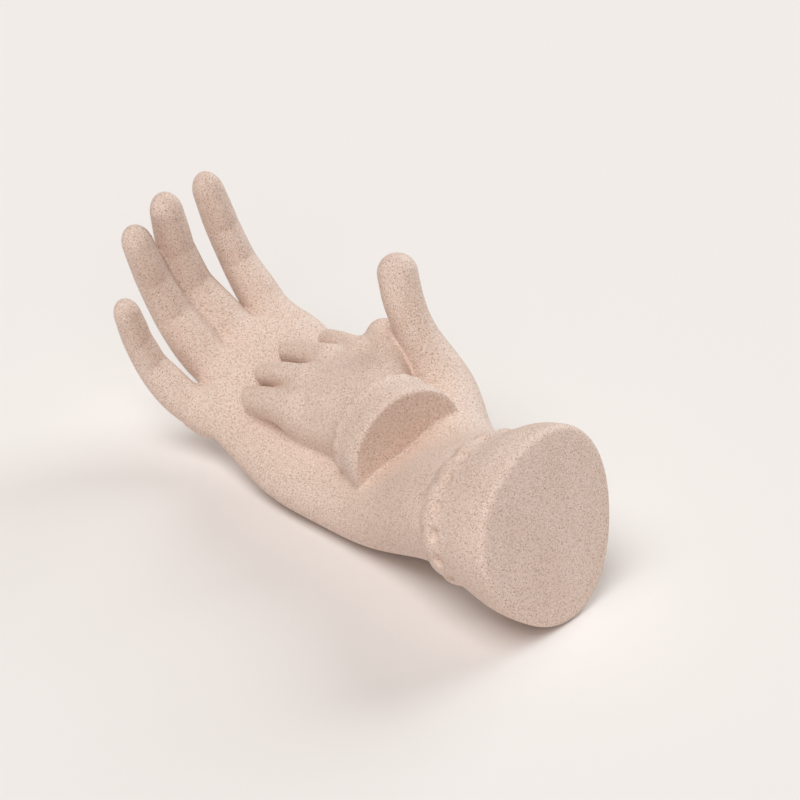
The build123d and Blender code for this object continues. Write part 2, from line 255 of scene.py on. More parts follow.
@dataclass
class Limb(Form):
    """A rounded section carried along a smooth path.

    The section is a squared oval of half breadth a and half depth b, (u/a)^n + (v/b)^n = 1, where
    u runs along the limb's side and v along its pad side. Its pads raise the pad side by bell
    curves of the length along the path. Its round end is cap half depths long.
    """

    path: SmoothCurve
    sizes: SmoothCurve
    sides: SmoothCurve
    fullness: float = 2.0
    round_ends: bool = True
    pads: Rows = ()
    samples: int = 22
    cap: float = 1.0
    newton_steps: int = 2
    least_pace: float = 0.3

    def box(self) -> tuple[Array, Array]:
        """Lowest and highest corner of a box round the limb: its path's, widened by its girth.

        Returns:
            The two corners.
        """
        centres = self.path.at(np.linspace(self.path.places[0], self.path.places[-1], self.samples))
        girth = self.sizes.values.max()
        return centres.min(axis=0) - girth, centres.max(axis=0) + girth

    def nearest(self, points: Array) -> Array:
        """Length along the path of the point closest to each point.

        The closest of many short chords gives a start, which Newton steps improve.

        Args:
            points: any points near the limb.

        Returns:
            The length along the path for each point.
        """
        marks = np.linspace(self.path.places[0], self.path.places[-1], self.samples)
        centres = self.path.at(marks)
        best = np.full(len(points), np.inf)
        lengths = np.zeros(len(points))
        for first, last, mark, next_mark in zip(centres[:-1], centres[1:], marks[:-1], marks[1:]):
            chord = last - first
            share = np.clip((points - first) @ chord / (chord @ chord), 0.0, 1.0)
            gap = points - first - share[:, None] * chord
            square = dot(gap, gap)
            closer = square < best
            best[closer] = square[closer]
            lengths[closer] = (mark + share * (next_mark - mark))[closer]
        for _ in range(self.newton_steps):
            gap = self.path.at(lengths) - points
            speed = self.path.at(lengths, 1)
            pace = dot(speed, speed)
            stiff = np.maximum(pace + dot(gap, self.path.at(lengths, 2)), self.least_pace * pace)
            lengths = np.clip(lengths - dot(gap, speed) / stiff, marks[0], marks[-1])
        return lengths

    def padding(self, lengths: Array, across: Array, lift: Array) -> Array:
        """Height that the pads add: a bell curve of the length for each, on the pad side alone.

        It fades round the limb with the square of the cosine of the angle to the pad side.

        Args:
            lengths: lengths along the path.
            across: offsets from the path along the limb's side.
            lift: offsets from the path along its pad side.

        Returns:
            The height at each point, which is below zero in a crease.
        """
        raised = np.zeros(len(lengths))
        for centre, width, height in self.pads:
            raised += height * swell(lengths, centre, width)
        facing = np.clip(lift / np.sqrt(across ** 2 + lift ** 2 + TINY), 0.0, 1.0)
        return raised * facing ** 2

    def measure(self, points: Array) -> Array:
        """Signed distances of points near the limb.

        With round ends it is r (1 - 1/s), where r is the distance from the nearest point of the
        path and s is r over the ellipsoid's radius that way. Without them it is the distance to
        the squared oval, trimmed by a plane at each end of the path.

        Args:
            points: points near the limb.

        Returns:
            Distances, negative inside.
        """
        lengths = self.nearest(points)
        gap = points - self.path.at(lengths)
        heading = unit(self.path.at(lengths, 1))
        side = self.sides.at(lengths)
        side = unit(side - dot(side, heading)[:, None] * heading)
        across, lift, beyond = dot(gap, side), dot(gap, np.cross(side, heading)), dot(gap, heading)
        breadth, depth = self.sizes.at(lengths).T
        raised = self.padding(lengths, across, lift)
        if self.round_ends:
            ahead = beyond / (depth * self.cap)
            stretched = np.sqrt((across / breadth) ** 2 + (lift / depth) ** 2 + ahead ** 2)
            radius = np.sqrt(across ** 2 + lift ** 2 + beyond ** 2)
            return radius * (1.0 - 1.0 / np.maximum(stretched, TINY)) - raised
        side_distance = oval_distance(np.abs(across), np.abs(lift), breadth, depth, self.fullness)
        ends = self.path.at(self.path.places[[0, -1]])
        headings = unit(self.path.at(self.path.places[[0, -1]], 1))
        past = np.maximum((ends[0] - points) @ headings[0], (points - ends[1]) @ headings[1])
        return trim(side_distance - raised, past, Fillet.HAND_END)


@dataclass
class Arch(Form):
    """A half round arch on straight sides, carried along a straight axis: the child's forms.

    Rows give the length along the axis, the centre across, the half breadth and the height. The
    section is (x/a)^2 + (z/h)^2 = 1 above the axis and two straight walls below it.
    """

    origin: Array
    axes: Array
    rows: SmoothCurve
    start: float
    end: float
    start_fillet: Fillet
    end_fillet: Fillet
    depth_below: float = 24.0
    squareness: float = 2.0

    def box(self) -> tuple[Array, Array]:
        """Lowest and highest corner of a box round the arch: its axis', widened by its section.

        Returns:
            The two corners.
        """
        reach = self.rows.values.max() + self.depth_below
        ends = self.origin + np.outer([self.start, self.end], self.axes[1])
        return ends.min(axis=0) - reach, ends.max(axis=0) + reach

    def measure(self, points: Array) -> Array:
        """Signed distances of points near the arch: its oval side, trimmed at both ends and below.

        Args:
            points: points near the arch.

        Returns:
            Distances, negative inside.
        """
        across, along, up = ((points - self.origin) @ self.axes.T).T
        centre, breadth, height = self.rows.at(along).T
        lift = np.maximum(up, 0.0)
        side = oval_distance(np.abs(across - centre), lift, breadth, height, self.squareness)
        inside = trim(side, self.start - along, self.start_fillet)
        inside = trim(inside, along - self.end, self.end_fillet)
        return np.maximum(inside, -self.depth_below - up)


@dataclass
class Beads(Form):
    """Low round lumps side by side on a ring: each one is an ellipsoid."""

    centres: Array
    axes: Array
    half_sizes: Array
    nearness: float = 2.2

    @classmethod
    def ring(cls, origin: Array, axes: tuple[Array, ...], angle: Array, oval: tuple[Array, ...],
             sink: float, sizes: Triple) -> "Beads":
        """Beads round an oval, each turned to lie along it.

        A centre stands at (w - sink) cos across the oval and (h - sink) sin up it.

        Args:
            origin: the point on the oval's axis in the plane of the beads.
            axes: directions across the oval, up it and along its axis.
            angle: angle of each bead.
            oval: half width, half height, shift across and lift of the oval at each bead.
            sink: depth of the centres below the oval.
            sizes: half sizes of a bead round the oval, along its axis and outwards.

        Returns:
            The beads.
        """
        across, up, along = axes
        width, height, shift, lift = oval
        cosine, sine = np.cos(angle), np.sin(angle)
        centres = origin + np.outer(shift + (width - sink) * cosine, across)
        centres = centres + np.outer(lift + (height - sink) * sine, up)
        tangents = unit(np.outer(height * cosine, up) - np.outer(width * sine, across))
        lengthways = np.broadcast_to(along, tangents.shape)
        bead_axes = np.stack([tangents, lengthways, np.cross(along, tangents)], axis=1)
        return cls(centres, bead_axes, np.array(sizes))

    def box(self) -> tuple[Array, Array]:
        """Lowest and highest corner of a box round the beads."""
        girth = self.half_sizes.max()
        return self.centres.min(axis=0) - girth, self.centres.max(axis=0) + girth

    def measure(self, points: Array) -> Array:
        """Signed distances of points near the beads.

        For each ellipsoid it is level (level - 1) over the slope of the square level, where the
        level is the distance from its centre in half sizes.

        Args:
            points: points near the ring.

        Returns:
            The distance to the nearest bead, negative inside.
        """
        distances = np.full(len(points), FAR)
        for centre, axes in zip(self.centres, self.axes):
            near = np.linalg.norm(points - centre, axis=1) < self.half_sizes.max() * self.nearness
            local = (points[near] - centre) @ axes.T
            level = np.linalg.norm(local / self.half_sizes, axis=1)
            slope = np.linalg.norm(local / self.half_sizes ** 2, axis=1)
            lump = level * (level - 1.0) / np.maximum(slope, TINY)
            distances[near] = np.minimum(distances[near], lump)
        return distances


@dataclass(frozen=True)
class Curl:
    """How a finger curls upwards in one plane.

    The slope rises from its first to its last angle. The even share of that rise follows
    1 - (1 - s)^ease of the share s of the length. Of the rest, the knuckle's share is there from
    the start, and each joint adds its own share in a smooth step that begins at its place.
    """

    ease: float = 1.8
    even_share: float = 0.65
    knuckle_share: float = 0.33
    joints: Rows = ((0.33, 0.43), (0.63, 0.21))
    joint_length: float = 0.18
    steps: int = 60
    stride: int = 5

    def path(self, root: Array, pose: tuple[float, ...], length: float, run_in: float
             ) -> tuple[SmoothCurve, Array]:
        """Path of a finger: the running sum of its headings, after a straight knuckle.

        Args:
            root: place of the finger's root.
            pose: spread, lean, first slope and last slope, in degrees.
            length: length from the root to the centre of the tip.
            run_in: length of the straight knuckle before the root.

        Returns:
            The path over its length, and the finger's side direction.
        """
        spread, lean, first_slope, last_slope = np.radians(pose)
        forward = np.array([np.sin(spread), np.cos(spread), 0.0])
        side = np.cross(forward, UP)
        upward = UP * np.cos(lean) - side * np.sin(lean)
        share = (np.arange(self.steps) + 0.5) / self.steps
        even = 1.0 - (1.0 - share) ** self.ease
        jointed = self.knuckle_share + sum(
            bend * eased((share - place) / self.joint_length) for place, bend in self.joints)
        rise = self.even_share * even + (1.0 - self.even_share) * jointed
        slope = first_slope + (last_slope - first_slope) * rise
        headings = np.outer(np.cos(slope), forward) + np.outer(np.sin(slope), upward)
        places = root + np.vstack([np.zeros(3), np.cumsum(headings, axis=0)]) * (length / self.steps)
        knuckle = root - headings[0] * run_in
        marks = np.linspace(0.0, length, self.steps + 1)[::self.stride]
        curve = SmoothCurve(np.append(-run_in, marks), np.vstack([knuckle, places[::self.stride]]))
        return curve, side


@dataclass
class AdultHand:
    """The adult hand: palm with its wrist, four curled fingers and the thumb.

    Palm rows give the centre (x, y, z), the half breadth, the half depth and the roll in degrees.
    Finger roots are shares of the palm's half breadth, the root reach and the palm's end depth.
    Finger poses are spread, lean, first slope and last slope in degrees. Finger sizes are the
    length and the radii at the root, the middle, the last pad and the tip. Finger pads are, from
    the knuckle to the tip, the spread as a share of the bone and the height. Thumb pads are the
    length along the thumb, the spread and the height.
    """

    end_centre: Triple = (27.2, 206.0, 36.8)
    palm_roll: float = 25.0
    palm_half_breadth: float = 41.5
    palm_end_depth: float = 9.5
    root_reach: float = 7.0
    fullness: float = 2.25
    palm_rows: Rows = (
        (-1.8, 24.0, 40.8, 35.0, 27.0, 0.0),
        (1.2, 40.0, 37.8, 34.0, 24.5, 2.0),
        (7.7, 62.0, 29.3, 35.0, 21.5, 5.0),
        (14.2, 85.0, 19.5, 37.0, 19.0, 5.5),
        (19.2, 110.0, 15.9, 39.0, 16.5, 7.8),
        (23.2, 145.0, 19.5, 40.0, 14.0, 15.0),
        (27.4, 178.0, 27.8, 37.4, 11.2, 21.0),
        (29.0, 204.5, 37.1, 34.6, 9.4, 25.0),
        (28.3, 208.5, 38.4, 31.2, 7.6, 25.0),
    )
    finger_roots: dict[str, Triple] = field(default_factory=lambda: {
        "index_finger": (0.748, 0.62, -0.09),
        "middle_finger": (0.29, 1.15, 0.25),
        "ring_finger": (-0.22, 0.80, 0.20),
        "little_finger": (-0.77, 0.58, 0.39),
    })
    finger_poses: dict[str, tuple[float, ...]] = field(default_factory=lambda: {
        "index_finger": (18.0, 16.5, 24.0, 87.0),
        "middle_finger": (-1.5, 16.5, 18.0, 97.0),
        "ring_finger": (9.5, 19.5, 27.0, 92.0),
        "little_finger": (-2.5, 18.5, 30.5, 91.0),
    })
    finger_sizes: dict[str, tuple[float, ...]] = field(default_factory=lambda: {
        "index_finger": (75.4, 9.7, 8.5, 8.0, 7.4),
        "middle_finger": (82.4, 10.2, 9.3, 8.4, 7.6),
        "ring_finger": (80.3, 10.2, 9.1, 7.9, 7.2),
        "little_finger": (58.8, 8.6, 7.3, 6.6, 6.1),
    })
    curl: Curl = Curl()
    joint_shares: tuple[float, float] = (0.42, 0.72)
    radius_shares: tuple[float, float] = (0.45, 0.78)
    knuckle_radius_share: float = 0.8
    knuckle_run: float = 14.0
    tip_cap: float = 1.45
    finger_pads: Rows = ((0.36, 0.8), (0.36, 0.8), (0.5, 0.9))
    crease_widths: tuple[float, float] = (2.6, 2.2)
    crease_depth: float = 0.35
    thumb_places: Rows = (
        (18.6, 54.7, 24.1), (37.0, 84.6, 34.3), (50.8, 99.2, 48.0),
        (52.3, 116.0, 68.5), (54.2, 129.4, 94.4),
    )
    thumb_radii: tuple[float, ...] = (17.4, 19.4, 14.3, 9.5, 9.0)
    thumb_marks: tuple[float, ...] = (0.0, 33.0, 55.0, 80.0, 110.0)
    thumb_side: Triple = (0.0, -1.0, 0.0)
    thumb_pads: Rows = ((99.0, 9.0, 1.3),)
    thumb_joint: float = 56.0
    thumb_joint_row: int = 2
    palm: Limb = field(init=False)
    fingers: dict[str, Limb] = field(init=False)
    thumb: Limb = field(init=False)

    def __post_init__(self) -> None:
        """Sets out the hand's limbs from its sizes."""
        self.palm = self.palm_form()
        self.fingers = {name: self.finger_form(name) for name in self.finger_roots}
        self.thumb = self.thumb_form()

    def palm_form(self) -> Limb:
        """The palm and wrist: squared ovals that roll and drift along the hand.

        Returns:
            The form.
        """
        rows = np.array(self.palm_rows)
        marks = rows[:, 1]
        roll = np.radians(rows[:, 5])
        sides = np.stack([np.cos(roll), np.zeros(len(roll)), np.sin(roll)], axis=1)
        return Limb(
            path=SmoothCurve(marks, rows[:, :3]),
            sizes=SmoothCurve(marks, rows[:, 3:5]),
            sides=SmoothCurve(marks, sides),
            fullness=self.fullness,
            round_ends=False,
        )

    def finger_form(self, name: str) -> Limb:
        """A curled finger with soft pads between its joints and a slight crease at each.

        Its root stands on the palm's end, at shares of the palm's rolled half breadth and depth.

        Args:
            name: the finger's name.

        Returns:
            The form.
        """
        roll = np.radians(self.palm_roll)
        across = np.array([np.cos(roll), 0.0, np.sin(roll)])
        outward = np.array([-np.sin(roll), 0.0, np.cos(roll)])
        side_share, reach_share, height_share = self.finger_roots[name]
        root = np.array(self.end_centre) + across * side_share * self.palm_half_breadth
        root = root + np.array([0.0, self.root_reach * reach_share, 0.0])
        root = root + outward * height_share * self.palm_end_depth
        length, *radii = self.finger_sizes[name]
        run = length - radii[-1] * self.tip_cap
        path, side = self.curl.path(root, self.finger_poses[name], run, self.knuckle_run)
        middle, last_pad = (share * run for share in self.radius_shares)
        marks = np.array([-self.knuckle_run, 0.0, middle, last_pad, run])
        radii = np.array([radii[0] * self.knuckle_radius_share, *radii])
        first, second = (share * run for share in self.joint_shares)
        bones = zip((0.0, first, second), (first, second, run), self.finger_pads)
        pads = [((low + high) / 2, (high - low) * spread, height) for low, high, (spread, height) in bones]
        creases = [(joint, width, -self.crease_depth)
                   for joint, width in zip((first, second), self.crease_widths)]
        return Limb(
            path=path,
            sizes=SmoothCurve(marks, np.stack([radii, radii], axis=1)),
            sides=SmoothCurve.steady(side, run),
            pads=(*pads, *creases),
            cap=self.tip_cap,
        )

    def thumb_form(self) -> Limb:
        """The thumb, from inside the palm over its ball to its broad round tip.

        Returns:
            The form.
        """
        marks = np.array(self.thumb_marks)
        radii = np.array(self.thumb_radii)
        return Limb(
            path=SmoothCurve(marks, np.array(self.thumb_places)),
            sizes=SmoothCurve(marks, np.stack([radii, radii], axis=1)),
            sides=SmoothCurve.steady(np.array(self.thumb_side), marks[-1]),
            pads=self.thumb_pads,
        )

    def distances(self, points: Array) -> dict[str, Array]:
        """Distances to each of the hand's own forms.

        Args:
            points: any points.

        Returns:
            Distances by the form's name.
        """
        shares = {"palm": self.palm.distance(points), "thumb_whole": self.thumb.distance(points)}
        for name, finger in self.fingers.items():
            shares[name] = finger.distance(points)
        return shares

    def blend(self, shares: dict[str, Array]) -> Array:
        """Distances to the whole hand, with a fillet at each knuckle and at the thumb's ball.

        Args:
            shares: distances to each form.

        Returns:
            Distances to the blended hand.
        """
        close = join(shares["middle_finger"], shares["ring_finger"], Fillet.CLOSE_FINGERS)
        fingers = join(shares["index_finger"], close, Fillet.BETWEEN_FINGERS)
        fingers = join(fingers, shares["little_finger"], Fillet.BETWEEN_FINGERS)
        hand = join(shares["palm"], fingers, Fillet.KNUCKLE)
        return join(hand, shares["thumb_whole"], Fillet.THUMB)

    def part(self, points: Array, shares: dict[str, Array]) -> dict[str, Array]:
        """Distances that decide which node a point of the skin belongs to.

        A plane across the thumb's joint gives its ball to the palm and the rest to the thumb.

        Args:
            points: points of the skin.
            shares: distances to each form.

        Returns:
            Distances by the node's name.
        """
        joint = np.array(self.thumb_places[self.thumb_joint_row])
        along = (points - joint) @ self.thumb_heading()
        parts = {name: shares[name] for name in self.fingers}
        parts["palm"] = np.minimum(shares["palm"], np.maximum(shares["thumb_whole"], along))
        parts["thumb"] = np.maximum(shares["thumb_whole"], -along)
        return parts

    def thumb_heading(self) -> Array:
        """Direction of the thumb at its joint with the ball."""
        return unit(self.thumb.path.at(np.array([self.thumb_joint]), 1))[0]


@dataclass
class Cuff:
    """The flared cuff: end disc, band and a scalloped edge of low beads.

    Across its axis the cuff is an oval whose radius swells at three lobes near the flat face,
    r = 1 + lobe cos(3 (angle - turn)), and its sizes follow a smooth curve of the length. Rows
    give the length, half width, half height, shift, lift and how much of the lobes it has.
    """

    face_height: float = 41.45
    tilt: float = 14.0
    disc_thickness: float = 6.0
    lobe_share: float = 0.045
    lobe_turn: float = 46.0
    lobes: int = 3
    rows: Rows = (
        (0.0, 41.0, 41.2, 0.0, 0.0, 1.0),
        (6.0, 40.8, 41.0, 0.1, 0.2, 1.0),
        (12.0, 40.6, 40.0, 0.2, 0.8, 0.8),
        (22.0, 39.2, 34.8, 0.5, 2.6, 0.4),
        (31.0, 38.0, 30.6, 0.7, 4.2, 0.0),
        (38.0, 37.0, 29.0, 0.7, 4.8, 0.0),
    )
    reach_along: float = 60.0
    reach_out: float = 62.0
    band_length: float = 33.5
    bead_count: int = 18
    bead_place: float = 32.6
    bead_sink: float = 3.4
    bead_sizes: Triple = (7.4, 6.2, 4.6)
    pit_place: float = 29.4
    pit_sizes: Triple = (2.7, 2.0, 1.6)
    pit_sink: float = 0.3
    curve: SmoothCurve = field(init=False)
    beads: Beads = field(init=False)
    pits: Beads = field(init=False)

    def __post_init__(self) -> None:
        """Sets out the band's curve, the beads, and the pits halfway between them."""
        self.curve = SmoothCurve.of_rows(self.rows)
        self.beads = self.ring(0.0, self.bead_place, self.bead_sink, self.bead_sizes)
        self.pits = self.ring(0.5, self.pit_place, self.pit_sink, self.pit_sizes)

    def middle(self) -> Array:
        """Middle of the flat face."""
        return np.array([0.0, 0.0, self.face_height])

    def axes(self) -> Array:
        """Directions across the cuff, up it, and along its tilted axis towards the wrist.

        Returns:
            The three directions as rows.
        """
        tilt = np.radians(self.tilt)
        along = np.array([0.0, np.cos(tilt), -np.sin(tilt)])
        return np.array([[1.0, 0.0, 0.0], [0.0, np.sin(tilt), np.cos(tilt)], along])

    def band(self, points: Array) -> tuple[Array, Array]:
        """Distances to the band with the disc, and the length along the axis.

        To the side it is r (1 - 1/level), where the level is r over the lobed oval's radius that
        way. The flat face and the edge at the wrist trim it.

        Args:
            points: any points.

        Returns:
            Distances, and lengths from the flat face.
        """
        place = (points - self.middle()) @ self.axes().T
        length = place[:, 2]
        near = (np.abs(length) < self.reach_along) & (np.hypot(place[:, 0], place[:, 1]) < self.reach_out)
        distances = np.full(len(points), FAR)
        place, along = place[near], length[near]
        width, height, shift, lift, lobed = self.curve.at(along).T
        u, v = place[:, 0] - shift, place[:, 1] - lift
        angle = np.arctan2(v, u)
        lobe = 1.0 + self.lobe_share * lobed * np.cos(self.lobes * (angle - np.radians(self.lobe_turn)))
        level = np.hypot(u / width, v / height) / lobe
        side = np.hypot(u, v) * (1.0 - 1.0 / np.maximum(level, TINY))
        solid = trim(side, -along, Fillet.RIM)
        distances[near] = trim(solid, along - self.band_length, Fillet.WRIST)
        return distances, length

    def ring(self, phase: float, place: float, sink: float, sizes: Triple) -> Beads:
        """A ring of lumps round the band, sunk into it.

        Args:
            phase: share of a bead that the first lump is turned by.
            place: length along the cuff's axis.
            sink: depth of the lumps' centres below the band's side.
            sizes: half sizes round the band, along it and outwards.

        Returns:
            The lumps.
        """
        angle = 2.0 * np.pi * (np.arange(self.bead_count) + phase) / self.bead_count
        width, height, shift, lift, _ = self.curve.at(np.full(self.bead_count, place)).T
        across, up, along = self.axes()
        origin = self.middle() + place * along
        return Beads.ring(origin, (across, up, along), angle, (width, height, shift, lift), sink, sizes)

    def distances(self, points: Array) -> dict[str, Array]:
        """Distances to the band, the beads and the pits, with the length along the axis.

        Args:
            points: any points.

        Returns:
            Distances by the form's name.
        """
        band, length = self.band(points)
        return {
            "cuff_band": band, "cuff_length": length,
            "cuff_beading": self.beads.distance(points), "cuff_pits": self.pits.distance(points),
        }

    def blend(self, shares: dict[str, Array]) -> Array:
        """Distances to the whole cuff, with a small pit between each two beads."""
        solid = join(shares["cuff_band"], shares["cuff_beading"], Fillet.BEAD)
        return trim(solid, -shares["cuff_pits"], Fillet.PIT)

    def part(self, shares: dict[str, Array]) -> dict[str, Array]:
        """Distances that decide which node a point of the cuff belongs to.

        A plane behind the disc parts it from the band.

        Args:
            shares: distances to each form.

        Returns:
            Distances by the node's name.
        """
        behind = shares["cuff_length"] - self.disc_thickness
        return {
            "cuff_end_disc": np.maximum(shares["cuff_band"], behind),
            "cuff": np.maximum(shares["cuff_band"], -behind),
            "cuff_beading": shares["cuff_beading"],
        }


@dataclass
class ChildHand:
    """The child's hand, palm down on the adult palm, with its own small cuff.

    Its axes are x across the hand towards the adult thumb, y along it and z up from the palm.
    Rows give the length, the centre across, the half breadth and the height. Fingers have the
    root's place across, along and up, the turn and slope in degrees, the length and the radii at
    the root and the tip.
    """

    place: Triple = (10.2, 84.5, 42.0)
    turn: float = 15.0
    roll: float = 24.0
    body_rows: Rows = (
        (10.0, 0.0, 22.0, 22.3),
        (26.0, 0.0, 22.5, 23.0),
        (38.0, -0.2, 24.2, 22.5),
        (50.0, -0.6, 26.6, 21.0),
        (60.0, -0.7, 27.2, 19.0),
        (70.0, -0.5, 26.0, 15.5),
    )
    body_start: float = 8.0
    body_end: float = 68.0
    cuff_rows: Rows = (
        (0.0, 0.0, 27.6, 26.8), (5.0, 0.0, 27.8, 27.0), (12.0, 0.0, 26.8, 26.2), (20.0, 0.0, 25.6, 25.2),
    )
    cuff_length: float = 18.0
    cuff_end_thickness: float = 5.0
    bead_count: int = 10
    bead_sizes: Triple = (4.2, 2.6, 2.2)
    bead_sink: float = 1.5
    finger_depth: float = 1.3
    finger_arching: float = 0.6
    finger_samples: int = 5
    fingers: dict[str, tuple[float, ...]] = field(default_factory=lambda: {
        "child_little_finger": (-19.6, 56.0, 10.0, -15.0, -8.6, 35.0, 7.8, 5.9),
        "child_ring_finger": (-7.5, 62.0, 13.0, -14.0, -10.0, 35.0, 7.2, 5.4),
        "child_middle_finger": (6.5, 64.0, 13.0, -13.0, -10.0, 34.0, 7.2, 5.4),
        "child_index_finger": (19.0, 58.0, 10.0, -6.0, -8.0, 30.0, 7.0, 5.4),
        "child_thumb": (17.8, 37.0, 6.4, 34.0, 2.0, 35.5, 10.2, 9.4),
    })
    limbs: dict[str, Limb] = field(init=False)
    body: Arch = field(init=False)
    cuff: Arch = field(init=False)
    beads: Beads = field(init=False)

    def __post_init__(self) -> None:
        """Sets out the child's forms from their sizes."""
        self.limbs = {name: self.finger_form(sizes) for name, sizes in self.fingers.items()}
        self.body = Arch(
            origin=np.array(self.place), axes=self.axes(), rows=SmoothCurve.of_rows(self.body_rows),
            start=self.body_start, end=self.body_end,
            start_fillet=Fillet.CHILD_CUFF, end_fillet=Fillet.HAND_END,
        )
        self.cuff = Arch(
            origin=np.array(self.place), axes=self.axes(), rows=SmoothCurve.of_rows(self.cuff_rows),
            start=0.0, end=self.cuff_length,
            start_fillet=Fillet.CHILD_RIM, end_fillet=Fillet.CHILD_CUFF,
        )
        self.beads = self.bead_forms()

    def axes(self) -> Array:
        """Directions across the child's hand, along it and up from the palm.

        Returns:
            The three directions as rows.
        """
        turn, roll = np.radians(self.turn), np.radians(self.roll)
        forward = np.array([np.sin(turn), np.cos(turn), 0.0])
        across = np.cross(forward, UP) * np.cos(roll) + UP * np.sin(roll)
        return np.array([across, forward, np.cross(across, forward)])

    def finger_form(self, sizes: tuple[float, ...]) -> Limb:
        """A short tapered finger, slightly arched, from inside the child's hand to its round tip.

        Its section is taller than broad, and keeps its top where a round one would have it.

        Args:
            sizes: the finger's row of sizes.

        Returns:
            The form.
        """
        across, along, up, turn, slope, length, root_radius, tip_radius = sizes
        axes = self.axes()
        root = np.array(self.place) + np.array([across, along, up]) @ axes
        turn, slope = np.radians(turn), np.radians(slope)
        local = np.array([np.sin(turn) * np.cos(slope), np.cos(turn) * np.cos(slope), np.sin(slope)])
        run = length - tip_radius
        marks = np.array([0.0, run / 2, run])
        radii = np.array([root_radius, (root_radius + tip_radius) / 2, tip_radius])
        depths = radii * self.finger_depth
        rise = radii - depths + np.array([0.0, self.finger_arching, 0.0])
        places = root + np.outer(marks, local @ axes) + np.outer(rise, axes[2])
        return Limb(
            path=SmoothCurve(marks, places),
            sizes=SmoothCurve(marks, np.stack([radii, depths], axis=1)),
            sides=SmoothCurve.steady(axes[0], run),
            samples=self.finger_samples,
            cap=1.0 / self.finger_depth,
        )

    def bead_forms(self) -> Beads:
        """The low beads along the edge of the child's cuff, evenly spaced over its arch.

        Returns:
            The beads.
        """
        angle = np.pi * (np.arange(self.bead_count) + 0.5) / self.bead_count
        shift, width, height = self.cuff.rows.at(np.full(self.bead_count, self.cuff_length)).T
        across, along, up = self.axes()
        origin = np.array(self.place) + self.cuff_length * along
        oval = (width, height, shift, np.zeros(self.bead_count))
        return Beads.ring(origin, (across, up, along), angle, oval, self.bead_sink, self.bead_sizes)

    def distances(self, points: Array) -> dict[str, Array]:
        """Distances to each of the child's forms, with the length along the hand.

        Args:
            points: any points.

        Returns:
            Distances by the form's name.
        """
        shares = {name: limb.distance(points) for name, limb in self.limbs.items()}
        shares["child_hand"] = self.body.distance(points)
        shares["child_cuff_band"] = self.cuff.distance(points)
        shares["child_cuff_beading"] = self.beads.distance(points)
        shares["child_length"] = (points - np.array(self.place)) @ self.axes()[1]
        return shares

    def blend(self, shares: dict[str, Array]) -> Array:
        """Distances to the whole child's hand and cuff, with a fillet at each seam.

        Args:
            shares: distances to each form.

        Returns:
            Distances to the blended hand and cuff.
        """
        first, *others = [name for name in self.limbs if name != "child_thumb"]
        fingers = shares[first]
        for name in others:
            fingers = join(fingers, shares[name], Fillet.CHILD_BETWEEN_FINGERS)
        hand = join(shares["child_hand"], fingers, Fillet.CHILD_KNUCKLE)
        hand = join(hand, shares["child_thumb"], Fillet.CHILD_KNUCKLE)
        cuff = join(shares["child_cuff_band"], shares["child_cuff_beading"], Fillet.BEAD)
        return join(hand, cuff, Fillet.CHILD_CUFF)

    def part(self, shares: dict[str, Array]) -> dict[str, Array]:
        """Distances that decide which node a point of the child's skin belongs to.

        A plane behind the flat end parts it from the cuff.

        Args:
            shares: distances to each form.

        Returns:
            Distances by the node's name.
        """
        behind = shares["child_length"] - self.cuff_end_thickness
        parts = {name: shares[name] for name in self.limbs}
        parts["child_hand"] = shares["child_hand"]
        parts["child_cuff_end"] = np.maximum(shares["child_cuff_band"], behind)
        parts["child_cuff"] = np.maximum(shares["child_cuff_band"], -behind)
        parts["child_cuff_beading"] = shares["child_cuff_beading"]
        return parts


